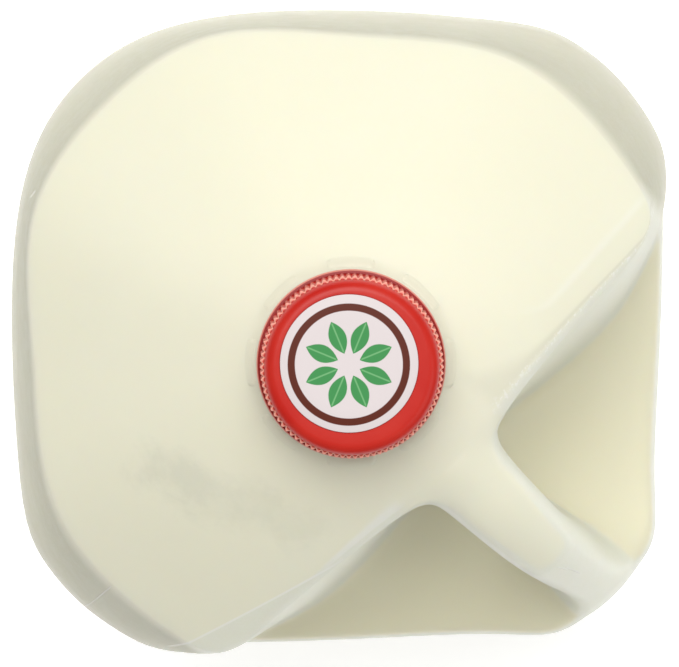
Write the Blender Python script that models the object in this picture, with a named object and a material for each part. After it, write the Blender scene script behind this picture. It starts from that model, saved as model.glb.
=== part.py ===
"""Plastic milk jug of one US gallon, full, with a red cap. Metres, +Z up.

The jug is blow-moulded in two halves that meet on the upright plane through its handle, so the cage
of one half is laid out here, mirrored and subdivided. While it is laid out, in millimetres, U points
from the neck's axis to the handle corner and V points square to it. The finished cage is turned so
that the jug's flat sides face X and Y, with the handle at the corner between +X and -Y.

The milk fills the jug from inside its wall up to a level just under the neck.
"""

import math

import bmesh
import bpy
from mathutils import Matrix, Vector

MM = 0.001

# Body. Its plan is a square with flattened corners and slightly bulged sides, given by the columns of
# the cage as angle from the handle corner and radius. The first stands at the end of the pocket's
# wall, and the others at the turns and middles of the corners and sides.
SIDE = 78.0
BODY_PLAN = (
    (66.5, 82.0),
    (77.0, 88.2),
    (90.0, 90.8),
    (103.0, 88.7),
    (135.0, 78.8),
    (163.0, 86.8),
    (180.0, 89.4),
)
CORNER_CREASE = 0.3
BULGE_ACROSS_X = 0.013
BULGE_TO_Z = 135.0
NEAR_FACE_X = 77.3
NEAR_FACE_TAPER = 0.056
NEAR_FACE_TAPER_FROM = 30.0
GRIP_CORNER = 91.2
GRIP_FACE_HALF = 9.5
CHAMFER_HALF = 18.0
CHAMFER_SETBACK = 3.0
WALL = 1.0

# Foot. The jug stands on a flat ring, inside which the bottom is pushed up.
FOOT_SCALE = 0.985
FOOT_RING_INSET = 9.0
FOOT_RING_WIDTH = 10.0
PUSH_UP = 4.5
PUSH_UP_SLOPE = 7.0
PUSH_UP_INSET = 52.0

# Rows of the lower walls: height, scale of the plan, inset. The foot's curve is the first two.
WALL_ROWS = (
    (3.5, FOOT_SCALE, 1.5),
    (12.0, FOOT_SCALE, 0.0),
    (55.0, 0.995, 0.0),
    (95.0, 1.0, 0.0),
)

# Dome between the neck and the break line of the shoulder, whose plan has round corners.
BREAK_PLAN = (
    (66.5, 77.5),
    (75.0, 76.6),
    (90.0, 77.0),
    (109.0, 78.9),
    (135.0, 71.2),
    (158.0, 82.2),
    (180.0, 79.8),
)
BREAK_Z = 187.0
BREAK_CREASE = 0.5
DOME_TOP = 233.0
DOME_BOW = 0.3
DOME_ROWS = (0.07, 0.32, 0.6, 0.86)

# Rows of the flanks above the pocket's floor. Of its back wall, the heights at the bridge and at the
# end. Of the flanks, the height and the share of the way from the body's plan to the break line's.
FLANK_ROWS = (
    ((134.0, 130.0), (134.0, 0.0)),
    ((160.0, 152.0), (154.0, 0.24)),
    ((191.0, 172.0), (174.0, 0.67)),
    ((204.0, 182.0), (184.0, 0.91)),
)

# Neck, from its foot on the dome to its mouth: radius and height.
NECK_FOOT_RADIUS = 21.0
NECK_ROWS = ((19.5, 235.0), (18.0, 238.0), (18.0, 251.5))

# Pocket beside the handle. Each column of its back wall has its V and how far it leans back for
# each millimetre that it rises.
POCKET_U = 33.5
POCKET_LEAN_FROM_Z = 195.0
POCKET_COLUMNS = ((0.0, 0.056), (11.0, 0.08), (31.0, 0.12), (51.0, 0.138))
POCKET_SWEEP = 3.0
POCKET_END_V = 70.0
POCKET_CREASE = 0.6
EDGE_SETBACK = 1.2
EDGE_ROLL = 2.5
FLOOR_AT_WALL = 125.0
FLOOR_AT_EDGE = 115.0
FLOOR_FILLET = 7.0

# Handle. Its foot on the pocket's floor as U, V and height, then its rings from there up and over
# to the wall: U, height, angle that the outer side looks up by, half depth and half width.
HANDLE_FOOT = ((57.0, 0.0, 126.0), (59.5, 6.6, 125.0), (73.0, 6.8, 121.0))
HANDLE_RINGS = (
    (73.6, 135.0, 12.0, 13.8, 7.6),
    (69.0, 155.0, 14.0, 12.3, 7.8),
    (63.8, 175.0, 15.0, 11.8, 8.1),
    (58.6, 190.5, 36.0, 11.9, 8.6),
    (50.8, 201.0, 64.0, 11.6, 9.1),
    (42.0, 207.5, 80.0, 12.0, 9.6),
)
ELBOW_RING = 3
HANDLE_CREASE = 0.35
ELBOW_CREASE = 0.7
FOOT_CREASE = 0.5

# Milk.
MILK_TOP = 231.0
TOUCH_GAP = 0.3

# Cap.
CAP_RADIUS = 20.2
CAP_FLANGE_RADIUS = 21.0
CAP_FLANGE_BOTTOM = 236.8
CAP_FLANGE_THICKNESS = 1.8
CAP_TOP = 253.5
CAP_EDGE = 2.2
CAP_BORE = 18.8
CAP_ROOF = 1.6
CAP_RIBS = 90
CAP_RIB_DEPTH = 0.5
CAP_RIBS_FROM = 239.4
CAP_RIBS_TO = 250.3
RIBS_PER_BORE_SIDE = 3

# Round label on the cap.
LABEL_RADIUS = 15.2
LABEL_THICKNESS = 0.3
LABEL_MIDDLE = (-0.65, 1.0)
LABEL_SIDES = 45

# Number of columns in half of the cage.
COLUMNS = len(POCKET_COLUMNS) + len(BODY_PLAN)


def material(name, colour, roughness, transmission=0.0):
    """A Principled material of one colour."""
    made = bpy.data.materials.new(name)
    made.use_nodes = True
    shader = made.node_tree.nodes["Principled BSDF"]
    shader.inputs["Base Color"].default_value = (*colour, 1.0)
    shader.inputs["Roughness"].default_value = roughness
    shader.inputs["Metallic"].default_value = 0.0
    shader.inputs["Transmission Weight"].default_value = transmission
    return made


def add_object(name, bm, finish, smooth_below=40.0):
    """Makes an object from a bmesh, shaded smooth where it turns by less than an angle in degrees."""
    bmesh.ops.recalc_face_normals(bm, faces=bm.faces)
    mesh = bpy.data.meshes.new(name)
    bm.to_mesh(mesh)
    bm.free()
    mesh.materials.append(finish)
    mesh.shade_smooth()
    mesh.set_sharp_from_angle(angle=math.radians(smooth_below))
    made = bpy.data.objects.new(name, mesh)
    bpy.context.scene.collection.objects.link(made)
    return made


def at_angle(angle, radius):
    return radius * math.cos(math.radians(angle)), radius * math.sin(math.radians(angle))


def far_plan(share, scale=1.0):
    """Plan of the columns from the end of the pocket's wall round to the far corner.

    The share is 0 for the body's plan and 1 for that of the break line.
    """
    plan = []
    for (low_angle, low_radius), (high_angle, high_radius) in zip(BODY_PLAN, BREAK_PLAN):
        angle = low_angle + (high_angle - low_angle) * share
        radius = low_radius + (high_radius - low_radius) * share
        plan.append(at_angle(angle, radius * scale))
    return plan


def rim_radius(angle):
    """Radius of the break line at an angle. It is carried on round the handle corner as an arc."""
    last_angle, last_radius = BREAK_PLAN[0]
    for next_angle, next_radius in BREAK_PLAN[1:]:
        if angle <= next_angle:
            share = max(0.0, (angle - last_angle) / (next_angle - last_angle))
            return last_radius + (next_radius - last_radius) * share
        last_angle, last_radius = next_angle, next_radius
    return last_radius


def near_face(y, scale):
    """A point of the flat side that the pocket opens through. It draws in towards the handle."""
    x = NEAR_FACE_X - NEAR_FACE_TAPER * max(0.0, NEAR_FACE_TAPER_FROM - y)
    return scale * (x - y) / math.sqrt(2.0), scale * (x + y) / math.sqrt(2.0)


def lower_ring(z, scale, inset=0.0):
    """Half of a level ring below the pocket, from the handle corner round to the far corner."""
    near = [
        (scale * GRIP_CORNER, 0.0),
        (scale * (GRIP_CORNER - 0.5), GRIP_FACE_HALF),
        (scale * (GRIP_CORNER - CHAMFER_SETBACK), CHAMFER_HALF),
        near_face(-36.0, scale),
        near_face(-6.0, scale),
    ]
    keep = 1.0 - inset / SIDE
    plan = near + far_plan(0.0, scale)
    return [(u * keep, v * keep, z) for u, v in plan]


def pocket_columns(at_bridge, at_end):
    """The columns of a ring on the pocket's back wall.

    The ring falls from the bridge to the wall's end. The wall leans back as it rises, and sweeps
    back towards its ends.
    """
    ring = []
    for v, lean in POCKET_COLUMNS:
        z = at_bridge + (at_end - at_bridge) * (v / POCKET_END_V) ** 1.5
        u = POCKET_U + lean * (POCKET_LEAN_FROM_Z - z)
        ring.append((u - POCKET_SWEEP * (v / POCKET_END_V) ** 2, v, z))
    return ring


def flank_columns(z, share):
    """The columns of a ring on the flanks."""
    return [(u, v, z) for u, v in far_plan(share)]


def dome_height(u, v):
    """Height of the dome over a point of the plan. It falls faster towards the break line."""
    rim = rim_radius(math.degrees(math.atan2(v, u)))
    share = (math.hypot(u, v) - NECK_FOOT_RADIUS) / (rim - NECK_FOOT_RADIUS)
    fall = (1.0 - DOME_BOW) * share + DOME_BOW * share * share
    return DOME_TOP - (DOME_TOP - BREAK_Z) * fall


def break_ring():
    """The ring where the dome turns down into the pocket's wall and, on the break line, the flanks."""
    ring = []
    for v, _ in POCKET_COLUMNS:
        u = POCKET_U - EDGE_SETBACK - POCKET_SWEEP * (v / POCKET_END_V) ** 2
        ring.append([u, v, dome_height(u, v) - EDGE_ROLL])
    # The dome runs on over the bridge, so it hardly turns down there.
    ring[0] = [ring[0][0] + 2.0, 0.0, ring[0][2] + 3.0]
    ring[1] = [ring[1][0] + 1.0, 9.0, ring[1][2] + 1.0]
    return ring + flank_columns(BREAK_Z, 1.0)


def neck_ring(radius, z):
    turn = 180.0 / (COLUMNS - 1)
    return [(*at_angle(i * turn, radius), z) for i in range(COLUMNS)]


def dome_ring(share):
    """A ring of the dome, a share of the way from the break ring to the neck's foot."""
    ring = []
    for (u, v, _), (foot_u, foot_v, _) in zip(break_ring(), neck_ring(NECK_FOOT_RADIUS, DOME_TOP)):
        u += (foot_u - u) * share
        v += (foot_v - v) * share
        ring.append((u, v, dome_height(u, v)))
    return ring


def tube_ring(u, z, turn, deep, wide):
    """Half of a ring round the handle, from its inner side, over its flank, to its outer side.

    The turn is the angle by which its outer side looks up, and deep and wide are half sizes.
    """
    out_u, out_z = at_angle(turn, deep)
    shares = ((-1.0, 0.0), (-0.82, 0.72), (0.0, 1.08), (0.82, 0.72), (1.0, 0.0))
    return [(u + out_u * along, wide * across, z + out_z * along) for along, across in shares]


def add_row(bm, points):
    return [bm.verts.new(Vector(point) * MM) for point in points]


def skin(bm, rows):
    """Joins each row of corners to the next with quads."""
    for lower, upper in zip(rows, rows[1:]):
        for a, b, c, d in zip(lower, lower[1:], upper[1:], upper):
            bm.faces.new((a, b, c, d))


def crease(bm, row, amount):
    """Keeps the turn along a row of corners tight when the cage is subdivided."""
    layer = bm.edges.layers.float.get("crease_edge") or bm.edges.layers.float.new("crease_edge")
    for a, b in zip(row, row[1:]):
        bm.edges.get((a, b))[layer] = amount


def add_lower_body(bm):
    """The foot and the walls up to the pocket's floor. It returns the top row."""
    ring_inner = FOOT_RING_INSET + FOOT_RING_WIDTH
    rings = (
        (PUSH_UP, FOOT_SCALE, PUSH_UP_INSET),
        (PUSH_UP, FOOT_SCALE, ring_inner + PUSH_UP_SLOPE),
        (0.0, FOOT_SCALE, ring_inner),
        (0.0, FOOT_SCALE, FOOT_RING_INSET),
        *WALL_ROWS,
        (FLOOR_AT_EDGE, 1.0, 0.0),
    )
    rows = [add_row(bm, lower_ring(*ring)) for ring in rings]
    skin(bm, rows)
    bm.faces.new(rows[0])
    crease(bm, rows[2], 1.0)
    crease(bm, rows[3], 1.0)
    return rows[-1]


def add_upper_body(bm, lower_top):
    """The flanks, the pocket's wall, the dome and the neck. It returns the rows up to the break."""
    foot = add_row(bm, pocket_columns(FLOOR_AT_WALL, FLOOR_AT_EDGE + 1.0))
    rows = [foot + lower_top[-len(BODY_PLAN):]]
    for pocket, flank in FLANK_ROWS:
        rows.append(add_row(bm, pocket_columns(*pocket) + flank_columns(*flank)))
    rows.append(add_row(bm, break_ring()))
    dome = [add_row(bm, dome_ring(share)) for share in DOME_ROWS]
    neck = [add_row(bm, neck_ring(radius, z)) for radius, z in NECK_ROWS]
    skin(bm, rows + dome + neck)
    # The corners beside the handle's have crisp turns. The far corner is softer.
    for column in (len(POCKET_COLUMNS) + 1, len(POCKET_COLUMNS) + 3):
        crease(bm, [row[column] for row in rows[:3]], CORNER_CREASE)
    crease(bm, rows[-1][len(POCKET_COLUMNS):], BREAK_CREASE)
    crease(bm, rows[-1][1:len(POCKET_COLUMNS) + 1], POCKET_CREASE)
    return rows


def open_for_bridge(bm, rows):
    """Takes out the faces of the wall where the handle's bridge leaves it. It returns their rim."""
    low, middle, high = rows[3], rows[4], rows[5]
    rim = [low[0], low[1], middle[1], high[1], high[0]]
    inside = [face for face in bm.faces if set(face.verts) <= {*rim, middle[0]}]
    bmesh.ops.delete(bm, geom=inside, context="FACES_ONLY")
    bmesh.ops.delete(bm, geom=[middle[0]], context="VERTS")
    return rim


def add_handle(bm, lower_top, rim):
    """The hollow handle, from the pocket's floor up and over to the wall. It returns its foot."""
    foot = add_row(bm, HANDLE_FOOT)
    outer = [lower_top[1], lower_top[0]]
    rings = [add_row(bm, tube_ring(*ring)) for ring in HANDLE_RINGS]
    skin(bm, [foot + outer] + rings + [rim])
    crease(bm, [lower_top[1]] + [ring[3] for ring in rings] + [rim[3]], HANDLE_CREASE)
    crease(bm, rings[ELBOW_RING][3:], ELBOW_CREASE)
    crease(bm, foot, FOOT_CREASE)
    return foot


def add_floor(bm, lower_top, wall_foot, handle_foot):
    """The pocket's floor, with a ring of faces that rounds it into what stands around it."""
    bm.faces.new((wall_foot[0], handle_foot[0], handle_foot[1], wall_foot[1]))
    open_side = [lower_top[i] for i in (5, 4, 3, 2, 1)]
    around = wall_foot[1:len(POCKET_COLUMNS)] + open_side + [handle_foot[2], handle_foot[1]]
    centre = sum((corner.co for corner in around), Vector()) / len(around)
    inner = []
    for corner in around:
        inwards = centre - corner.co
        inwards *= min(FLOOR_FILLET * MM / inwards.length, 0.5)
        inner.append(bm.verts.new(corner.co + inwards))
    for i, corner in enumerate(around):
        j = (i + 1) % len(around)
        bm.faces.new((corner, around[j], inner[j], inner[i]))
    bm.faces.new(inner)


def jug_cage():
    """Both halves of the cage, turned so that the flat sides face X and Y."""
    bm = bmesh.new()
    lower_top = add_lower_body(bm)
    rows = add_upper_body(bm, lower_top)
    rim = open_for_bridge(bm, rows)
    handle_foot = add_handle(bm, lower_top, rim)
    add_floor(bm, lower_top, rows[0], handle_foot)
    everything = bm.verts[:] + bm.edges[:] + bm.faces[:]
    bmesh.ops.mirror(bm, geom=everything, axis="Y", merge_dist=1e-6)
    bmesh.ops.recalc_face_normals(bm, faces=bm.faces)
    bmesh.ops.rotate(bm, verts=bm.verts, matrix=Matrix.Rotation(math.radians(-45.0), 3, "Z"))
    # The full jug bulges a little more across X than across Y, up to its shoulder.
    for corner in bm.verts:
        share = min(1.0, max(0.0, (BREAK_Z - corner.co.z / MM) / (BREAK_Z - BULGE_TO_Z)))
        share *= share * (3.0 - 2.0 * share)
        corner.co.x *= 1.0 + BULGE_ACROSS_X * share
        corner.co.y *= 1.0 - BULGE_ACROSS_X * share
    return bm


def add_subdivision(thing):
    smooth = thing.modifiers.new("Subdivision", "SUBSURF")
    smooth.levels = 1
    smooth.render_levels = 1


def make_jug(finish):
    """The thin-walled jug, open at its neck."""
    jug = add_object("jug", jug_cage(), finish)
    add_subdivision(jug)
    wall = jug.modifiers.new("Wall", "SOLIDIFY")
    wall.thickness = WALL * MM
    wall.offset = -1.0
    wall.use_even_offset = True
    return jug


def make_milk(finish):
    """The milk, which stands just inside the jug's wall and is level on top."""
    guide = add_object("guide", jug_cage(), finish)
    add_subdivision(guide)
    graph = bpy.context.evaluated_depsgraph_get()
    surface = bpy.data.meshes.new_from_object(guide.evaluated_get(graph))
    bm = bmesh.new()
    bm.from_mesh(surface)
    bpy.data.meshes.remove(surface)
    bpy.data.objects.remove(guide, do_unlink=True)
    bm.normal_update()
    depth = (WALL + TOUCH_GAP) * MM
    moved = [corner.co - corner.normal * depth * corner.calc_shell_factor() for corner in bm.verts]
    for corner, place in zip(bm.verts, moved):
        corner.co = place
    everything = bm.verts[:] + bm.edges[:] + bm.faces[:]
    level = Vector((0.0, 0.0, MILK_TOP * MM))
    bmesh.ops.bisect_plane(bm, geom=everything, plane_co=level, plane_no=(0.0, 0.0, 1.0), clear_outer=True)
    shore = [edge for edge in bm.edges if edge.is_boundary]
    bmesh.ops.contextual_create(bm, geom=shore)
    return add_object("milk", bm, finish)


def add_circle(bm, count, radius, z, dip=0.0):
    """A ring of corners. With a dip, every second one lies that much nearer to the axis."""
    ring = []
    for i in range(count):
        reach = radius - dip * (i % 2)
        ring.append(bm.verts.new(Vector((*at_angle(360.0 * i / count, reach), z)) * MM))
    return ring


def join_rings(bm, coarse, fine):
    """Joins two closed rings, where one has as many corners as the other or a multiple of it."""
    each = len(fine) // len(coarse)
    for i, corner in enumerate(coarse):
        across = [fine[(i * each + k) % len(fine)] for k in range(each, -1, -1)]
        bm.faces.new([corner, coarse[(i + 1) % len(coarse)]] + across)


def make_cap(finish):
    """The hollow cap: a roof, a skirt with upright ribs, and a flange round its foot."""
    bm = bmesh.new()
    slope = CAP_EDGE * math.sin(math.radians(45.0))
    flange_top = CAP_FLANGE_BOTTOM + CAP_FLANGE_THICKNESS
    foot = add_circle(bm, CAP_RIBS, CAP_FLANGE_RADIUS, CAP_FLANGE_BOTTOM)
    flange = add_circle(bm, CAP_RIBS, CAP_FLANGE_RADIUS, flange_top - 0.4)
    ledge = add_circle(bm, CAP_RIBS, CAP_RADIUS + 0.2, flange_top)
    ribs_foot = add_circle(bm, 2 * CAP_RIBS, CAP_RADIUS, CAP_RIBS_FROM, CAP_RIB_DEPTH)
    ribs_head = add_circle(bm, 2 * CAP_RIBS, CAP_RADIUS, CAP_RIBS_TO, CAP_RIB_DEPTH)
    shoulder = add_circle(bm, CAP_RIBS, CAP_RADIUS - 0.3, CAP_TOP - CAP_EDGE)
    edge_radius = CAP_RADIUS - 0.3 - CAP_EDGE
    edge = add_circle(bm, CAP_RIBS, edge_radius + slope, CAP_TOP - CAP_EDGE + slope)
    top = add_circle(bm, CAP_RIBS, edge_radius, CAP_TOP)
    bore_sides = CAP_RIBS // RIBS_PER_BORE_SIDE
    bore_foot = add_circle(bm, bore_sides, CAP_BORE, CAP_FLANGE_BOTTOM)
    bore_top = add_circle(bm, bore_sides, CAP_BORE, CAP_TOP - CAP_ROOF)
    for coarse, fine in (
        (foot, flange),
        (flange, ledge),
        (ledge, ribs_foot),
        (ribs_foot, ribs_head),
        (shoulder, ribs_head),
        (shoulder, edge),
        (edge, top),
        (bore_foot, foot),
        (bore_foot, bore_top),
    ):
        join_rings(bm, coarse, fine)
    bm.faces.new(top)
    bm.faces.new(bore_top)
    return add_object("cap", bm, finish)


def make_label(finish):
    """The thin round label that lies on the cap, a little off its centre."""
    bm = bmesh.new()
    bottom = CAP_TOP + TOUCH_GAP
    bmesh.ops.create_cone(
        bm,
        cap_ends=True,
        segments=LABEL_SIDES,
        radius1=LABEL_RADIUS * MM,
        radius2=LABEL_RADIUS * MM,
        depth=LABEL_THICKNESS * MM,
    )
    middle = Vector((*LABEL_MIDDLE, bottom + LABEL_THICKNESS / 2.0)) * MM
    bmesh.ops.translate(bm, verts=bm.verts, vec=middle)
    return add_object("cap_label", bm, finish)


def main():
    for thing in list(bpy.data.objects):
        bpy.data.objects.remove(thing, do_unlink=True)
    make_jug(material("natural polyethylene", (0.86, 0.86, 0.80), 0.4, 0.3))
    make_milk(material("whole milk", (0.93, 0.92, 0.83), 0.5))
    make_cap(material("red polyethylene", (0.68, 0.04, 0.03), 0.3))
    make_label(material("label paper", (0.86, 0.80, 0.82), 0.5))


if __name__ == "__main__":
    main()
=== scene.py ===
"""Gallon milk jug, full, with a red screw cap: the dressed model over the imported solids.

Sizes are millimetres in the classes' fields and metres in the scene. The jug's cage is laid out in
U and V: U points from the neck's axis to the handle corner, and V points square to it. The jug is
moulded in two halves that meet on the upright plane V = 0.
"""

import enum
import logging
import math
from dataclasses import dataclass, field

import bmesh
import bpy
from mathutils import Matrix, Vector


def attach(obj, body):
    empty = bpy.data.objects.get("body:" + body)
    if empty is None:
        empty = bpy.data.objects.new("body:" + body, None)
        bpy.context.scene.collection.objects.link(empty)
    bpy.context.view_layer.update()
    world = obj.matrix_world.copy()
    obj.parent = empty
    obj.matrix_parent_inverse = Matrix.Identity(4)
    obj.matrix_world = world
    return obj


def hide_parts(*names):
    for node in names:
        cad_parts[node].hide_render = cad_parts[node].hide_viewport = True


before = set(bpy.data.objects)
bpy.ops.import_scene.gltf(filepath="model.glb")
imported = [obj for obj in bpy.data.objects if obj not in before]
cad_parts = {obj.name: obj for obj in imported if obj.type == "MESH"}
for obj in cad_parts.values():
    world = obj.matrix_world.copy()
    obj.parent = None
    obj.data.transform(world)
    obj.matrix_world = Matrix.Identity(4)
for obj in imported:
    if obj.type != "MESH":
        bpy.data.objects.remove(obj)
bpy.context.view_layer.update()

MM = 0.001
BODY = "root"
LOG = logging.getLogger("milk jug")

Point = tuple[float, float, float]
Plan = tuple[float, float]
Colour = tuple[float, float, float]
Range = tuple[float, float]
Socket = bpy.types.NodeSocket
Vert = bmesh.types.BMVert


class Slot(enum.Enum):
    """The record's material slots."""

    JUG = "jug"
    MILK = "milk"
    CAP = "cap"
    LABEL = "cap_label"


def polar(angle: float, radius: float) -> Plan:
    """The plan point at an angle in degrees and a radius."""
    return radius * math.cos(math.radians(angle)), radius * math.sin(math.radians(angle))


def smooth_step(low: float, high: float, value: float) -> float:
    """Rises smoothly from 0 at low to 1 at high.

    Args:
        low: Value at which the step starts.
        high: Value at which it ends.
        value: Where the step is read.

    Returns:
        The share of the step, from 0 to 1.
    """
    share = min(1.0, max(0.0, (value - low) / (high - low)))
    return share * share * (3.0 - 2.0 * share)


def put_in_scene(name: str, data: bpy.types.ID) -> bpy.types.Object:
    """Makes an object of a mesh, a light or a camera, and links it to the scene.

    Args:
        name: Name of the object.
        data: What it holds.

    Returns:
        The new object.
    """
    made = bpy.data.objects.new(name, data)
    bpy.context.scene.collection.objects.link(made)
    return made


class NodeBoard:
    """A material's node tree, with short ways to add and join its nodes."""

    def __init__(self, name: str) -> None:
        """Starts a material that has only its Principled shader and output.

        Args:
            name: Name of the material.
        """
        self.material = bpy.data.materials.new(name)
        self.material.use_nodes = True
        self.tree = self.material.node_tree
        self.shader = self.tree.nodes["Principled BSDF"]

    def set_shader(self, **values: float | Colour | tuple[float, ...]) -> None:
        """Sets constants on the shader's own sockets.

        Args:
            **values: Socket names in lower case with underscores, and their values.
        """
        for key, value in values.items():
            socket = self.shader.inputs[key.replace("_", " ").title().replace("Ior", "IOR")]
            if isinstance(value, tuple) and len(value) == 3 and socket.type == "RGBA":
                value = (*value, 1.0)
            socket.default_value = value

    def add(self, kind: str, **settings: object) -> bpy.types.Node:
        """Adds a node.

        Args:
            kind: The node's type, without ShaderNode in front.
            **settings: Values for the node's own properties.

        Returns:
            The new node.
        """
        node = self.tree.nodes.new("ShaderNode" + kind)
        for key, value in settings.items():
            setattr(node, key, value)
        return node

    def join(self, source: Socket, target: Socket) -> None:
        """Links one socket to another."""
        self.tree.links.new(source, target)

    def feed(self, target: Socket, value: Socket | float) -> None:
        """Gives a socket a link or a number, whichever it is handed.

        Args:
            target: The socket to feed.
            value: A socket to link it to, or its number.
        """
        if isinstance(value, (int, float)):
            target.default_value = value
        else:
            self.join(value, target)

    def math(
        self,
        operation: str,
        first: Socket | float,
        second: Socket | float = 0.0,
        third: Socket | float = 0.0,
    ) -> Socket:
        """Joins up one Math node.

        Args:
            operation: Name of the operation.
            first: Its first value.
            second: Its second value.
            third: Its third value, where it has one.

        Returns:
            The socket that holds the result.
        """
        node = self.add("Math", operation=operation)
        self.feed(node.inputs[0], first)
        self.feed(node.inputs[1], second)
        self.feed(node.inputs[2], third)
        return node.outputs[0]

    def times(self, *values: Socket | float) -> Socket:
        """The product of two or more values.

        Args:
            *values: The values.

        Returns:
            The socket of the product.
        """
        product = values[0]
        for value in values[1:]:
            product = self.math("MULTIPLY", product, value)
        return product

    def most(self, *values: Socket | float) -> Socket:
        """The largest of two or more values.

        Args:
            *values: The values.

        Returns:
            The socket of the largest.
        """
        largest = values[0]
        for value in values[1:]:
            largest = self.math("MAXIMUM", largest, value)
        return largest

    def reach(self, x: Socket, y: Socket) -> Socket:
        """The distance that two parts at right angles make."""
        squares = self.math("ADD", self.math("POWER", x, 2.0), self.math("POWER", y, 2.0))
        return self.math("SQRT", squares)

    def step(self, value: Socket, low: float, high: float) -> Socket:
        """A smooth step from 0 at low to 1 at high, where low may be the larger.

        Args:
            value: Where the step is read.
            low: Value at which the result is 0.
            high: Value at which the result is 1.

        Returns:
            The socket that holds the share.
        """
        node = self.add("MapRange", interpolation_type="SMOOTHSTEP")
        self.join(value, node.inputs["Value"])
        turned = low > high
        node.inputs["From Min"].default_value = min(low, high)
        node.inputs["From Max"].default_value = max(low, high)
        node.inputs["To Min"].default_value = 1.0 if turned else 0.0
        node.inputs["To Max"].default_value = 0.0 if turned else 1.0
        return node.outputs["Result"]

    def place(self) -> Socket:
        """The point on the object, in metres."""
        return self.add("TexCoord").outputs["Object"]

    def split(self, vector: Socket) -> list[Socket]:
        """The three parts of a vector.

        Args:
            vector: The socket to take apart.

        Returns:
            The sockets of its X, Y and Z.
        """
        node = self.add("SeparateXYZ")
        self.join(vector, node.inputs[0])
        return list(node.outputs)

    def noise(self, scale: float, detail: float = 3.0, roughness: float = 0.5) -> Socket:
        """Noise over the object.

        Args:
            scale: Number of cells in a metre.
            detail: Number of finer layers.
            roughness: How strong the finer layers are.

        Returns:
            The socket of the noise, about 0.5 on average.
        """
        node = self.add("TexNoise")
        self.join(self.place(), node.inputs["Vector"])
        node.inputs["Scale"].default_value = scale
        node.inputs["Detail"].default_value = detail
        node.inputs["Roughness"].default_value = roughness
        return node.outputs[0]

    def blend(
        self,
        share: Socket | float,
        first: Socket | Colour,
        second: Socket | Colour,
    ) -> Socket:
        """Mixes two colours.

        Args:
            share: Share of the second colour.
            first: The first colour.
            second: The second colour.

        Returns:
            The socket of the mixed colour.
        """
        node = self.add("Mix", data_type="RGBA")
        self.feed(node.inputs[0], share)
        for socket, value in ((node.inputs[6], first), (node.inputs[7], second)):
            if isinstance(value, tuple):
                socket.default_value = (*value, 1.0)
            else:
                self.join(value, socket)
        return node.outputs[2]

    def bump(
        self,
        height: Socket,
        distance: float,
        strength: float = 1.0,
        under: Socket | None = None,
    ) -> Socket:
        """A bump, over another one where that is handed in.

        Args:
            height: The socket of the height.
            distance: Depth in metres for a height of 1.
            strength: How strongly it shows.
            under: The bump below it.

        Returns:
            The socket of the normal.
        """
        node = self.add("Bump")
        self.join(height, node.inputs["Height"])
        node.inputs["Distance"].default_value = distance
        node.inputs["Strength"].default_value = strength
        if under is not None:
            self.join(under, node.inputs["Normal"])
        return node.outputs[0]


@dataclass(frozen=True)
class Spot:
    """Where a point of the jug lies and how its surface faces there, as sockets.

    Out is the distance towards the handle corner, side the distance square to that and up the
    height, all in millimetres. Facing is how far the surface looks up, and towards how far it
    looks to the handle corner.
    """

    out: Socket
    side: Socket
    up: Socket
    facing: Socket
    towards: Socket


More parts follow.
